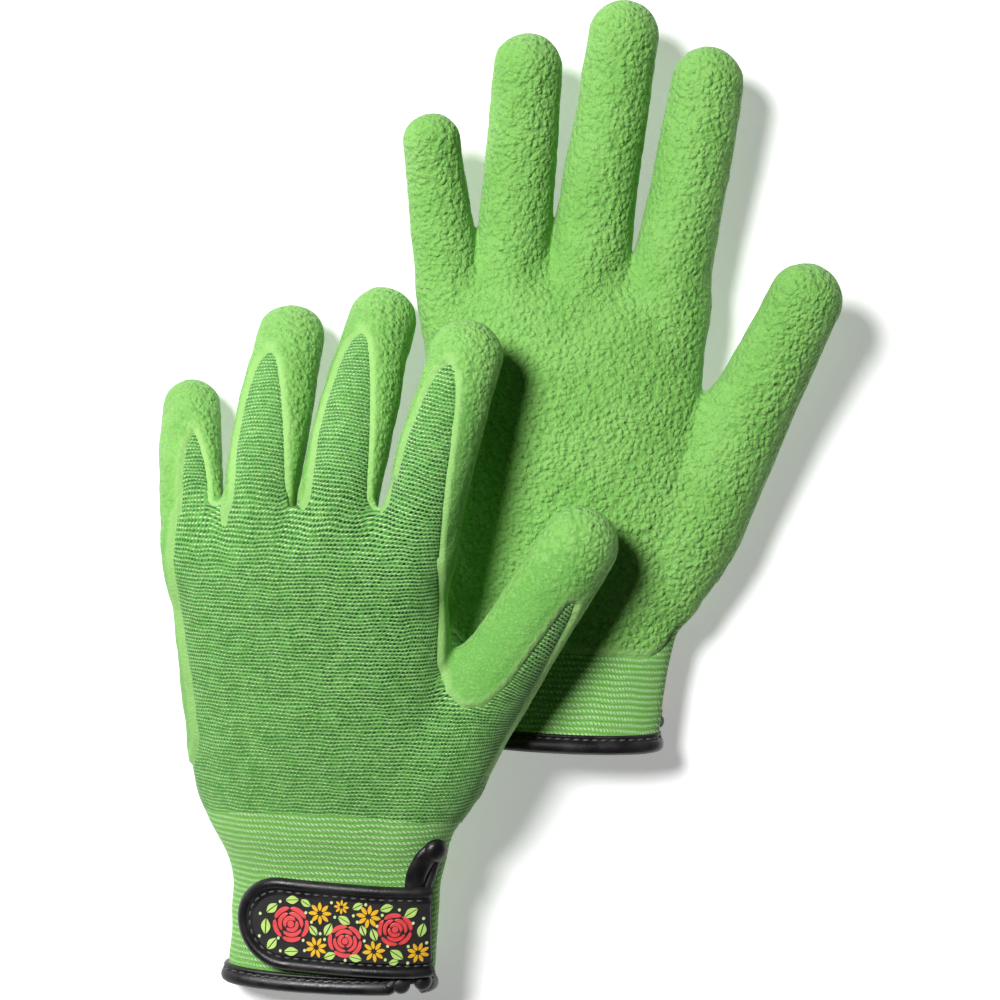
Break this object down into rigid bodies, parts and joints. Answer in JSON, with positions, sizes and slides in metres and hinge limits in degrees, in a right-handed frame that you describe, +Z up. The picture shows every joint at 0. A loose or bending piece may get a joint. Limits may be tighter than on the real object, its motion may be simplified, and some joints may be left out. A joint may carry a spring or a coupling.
{
  "type": "gardening gloves",
  "caption": "Pair of knitted gloves with a crinkled latex palm coat and fingertips, elastic cuff with a bound slit, and a hook-and-loop wrist strap.",
  "frame": {"origin": "on the surface that the pair lies on, under the middle of its bounding box", "axes": "+Z up off the surface, +Y towards the fingertips, +X towards the thumbs"},
  "size_m": [0.2194, 0.321, 0.0613],
  "materials": {
    "knit": "fine two-tone knit",
    "latex": "matt crinkled foam latex",
    "cuff_knit": "ribbed elastic knit with pale rows",
    "binding": "semi-gloss synthetic leather tape",
    "hook_and_loop": "hook-and-loop tape",
    "strap_web": "woven webbing",
    "badge": "matt moulded patch with printed flowers"
  },
  "bodies": {
    "left_palm": {"left_palm_liner": "knit", "left_cuff": "cuff_knit", "left_palm_coat": "latex", "left_hem_binding": "binding", "left_slit_binding": "binding", "left_loop_pad": "hook_and_loop"},
    "left_little": {"left_little_liner": "knit", "left_little_coat": "latex"},
    "left_ring": {"left_ring_liner": "knit", "left_ring_coat": "latex"},
    "left_middle": {"left_middle_liner": "knit", "left_middle_coat": "latex"},
    "left_index": {"left_index_liner": "knit", "left_index_coat": "latex"},
    "left_thumb": {"left_thumb_liner": "knit", "left_thumb_coat": "latex"},
    "left_strap": {"left_hook_pad": "hook_and_loop", "left_strap_web": "strap_web", "left_strap_badge": "badge", "left_strap_binding": "binding"},
    "right_palm": {"right_palm_liner": "knit", "right_cuff": "cuff_knit", "right_palm_coat": "latex", "right_hem_binding": "binding", "right_slit_binding": "binding", "right_loop_pad": "hook_and_loop"},
    "right_little": {"right_little_liner": "knit", "right_little_coat": "latex"},
    "right_ring": {"right_ring_liner": "knit", "right_ring_coat": "latex"},
    "right_middle": {"right_middle_liner": "knit", "right_middle_coat": "latex"},
    "right_index": {"right_index_liner": "knit", "right_index_coat": "latex"},
    "right_thumb": {"right_thumb_liner": "knit", "right_thumb_coat": "latex"},
    "right_strap": {"right_hook_pad": "hook_and_loop", "right_strap_web": "strap_web", "right_strap_badge": "badge", "right_strap_binding": "binding"}
  },
  "joints": [
    {"name": "left_glove_lift", "type": "slide", "parent": "right_palm", "child": "left_palm", "axis": [0, 0, 1], "range_m": [0, 0.15]},
    {"name": "left_little_fold", "type": "hinge", "parent": "left_palm", "child": "left_little", "pos_m": [-0.09967, 0.00404, 0.03464], "axis": [0.9668, 0.1835, 0.1779], "range_deg": [0, 75]},
    {"name": "left_ring_fold", "type": "hinge", "parent": "left_palm", "child": "left_ring", "pos_m": [-0.07538, 0.00734, 0.04262], "axis": [0.9881, -0.0937, 0.1221], "range_deg": [0, 75]},
    {"name": "left_middle_fold", "type": "hinge", "parent": "left_palm", "child": "left_middle", "pos_m": [-0.04999, 0.00753, 0.04601], "axis": [0.9806, -0.1648, 0.1059], "range_deg": [0, 75]},
    {"name": "left_index_fold", "type": "hinge", "parent": "left_palm", "child": "left_index", "pos_m": [-0.02211, 0.00419, 0.05802], "axis": [0.9625, -0.2581, 0.0834], "range_deg": [0, 75]},
    {"name": "left_thumb_fold", "type": "hinge", "parent": "left_palm", "child": "left_thumb", "pos_m": [0.0044, -0.04742, 0.048], "axis": [0.8434, -0.5372, 0.007], "range_deg": [0, 75]},
    {"name": "left_strap_open", "type": "hinge", "parent": "left_palm", "child": "left_strap", "pos_m": [-0.02248, -0.13696, 0.02947], "axis": [0, 0.9781, 0.2079], "range_deg": [0, 150]},
    {"name": "right_little_fold", "type": "hinge", "parent": "right_palm", "child": "right_little", "pos_m": [-0.0179, 0.08395, 0.02237], "axis": [0.993, 0.1184, 0], "range_deg": [0, 75]},
    {"name": "right_ring_fold", "type": "hinge", "parent": "right_palm", "child": "right_ring", "pos_m": [0.00518, 0.08711, 0.02177], "axis": [0.9966, -0.0819, 0], "range_deg": [0, 75]},
    {"name": "right_middle_fold", "type": "hinge", "parent": "right_palm", "child": "right_middle", "pos_m": [0.0306, 0.08672, 0.02195], "axis": [0.9885, -0.1513, 0], "range_deg": [0, 75]},
    {"name": "right_index_fold", "type": "hinge", "parent": "right_palm", "child": "right_index", "pos_m": [0.05838, 0.08507, 0.02195], "axis": [0.9836, -0.1805, 0], "range_deg": [0, 75]},
    {"name": "right_thumb_fold", "type": "hinge", "parent": "right_palm", "child": "right_thumb", "pos_m": [0.08384, 0.03316, 0.02675], "axis": [0.907, -0.421, 0], "range_deg": [0, 75]},
    {"name": "right_strap_open", "type": "hinge", "parent": "right_palm", "child": "right_strap", "pos_m": [0.05289, -0.05798, 0.00738], "axis": [-0.0558, -0.9984, 0], "range_deg": [0, 158]}
  ]
}
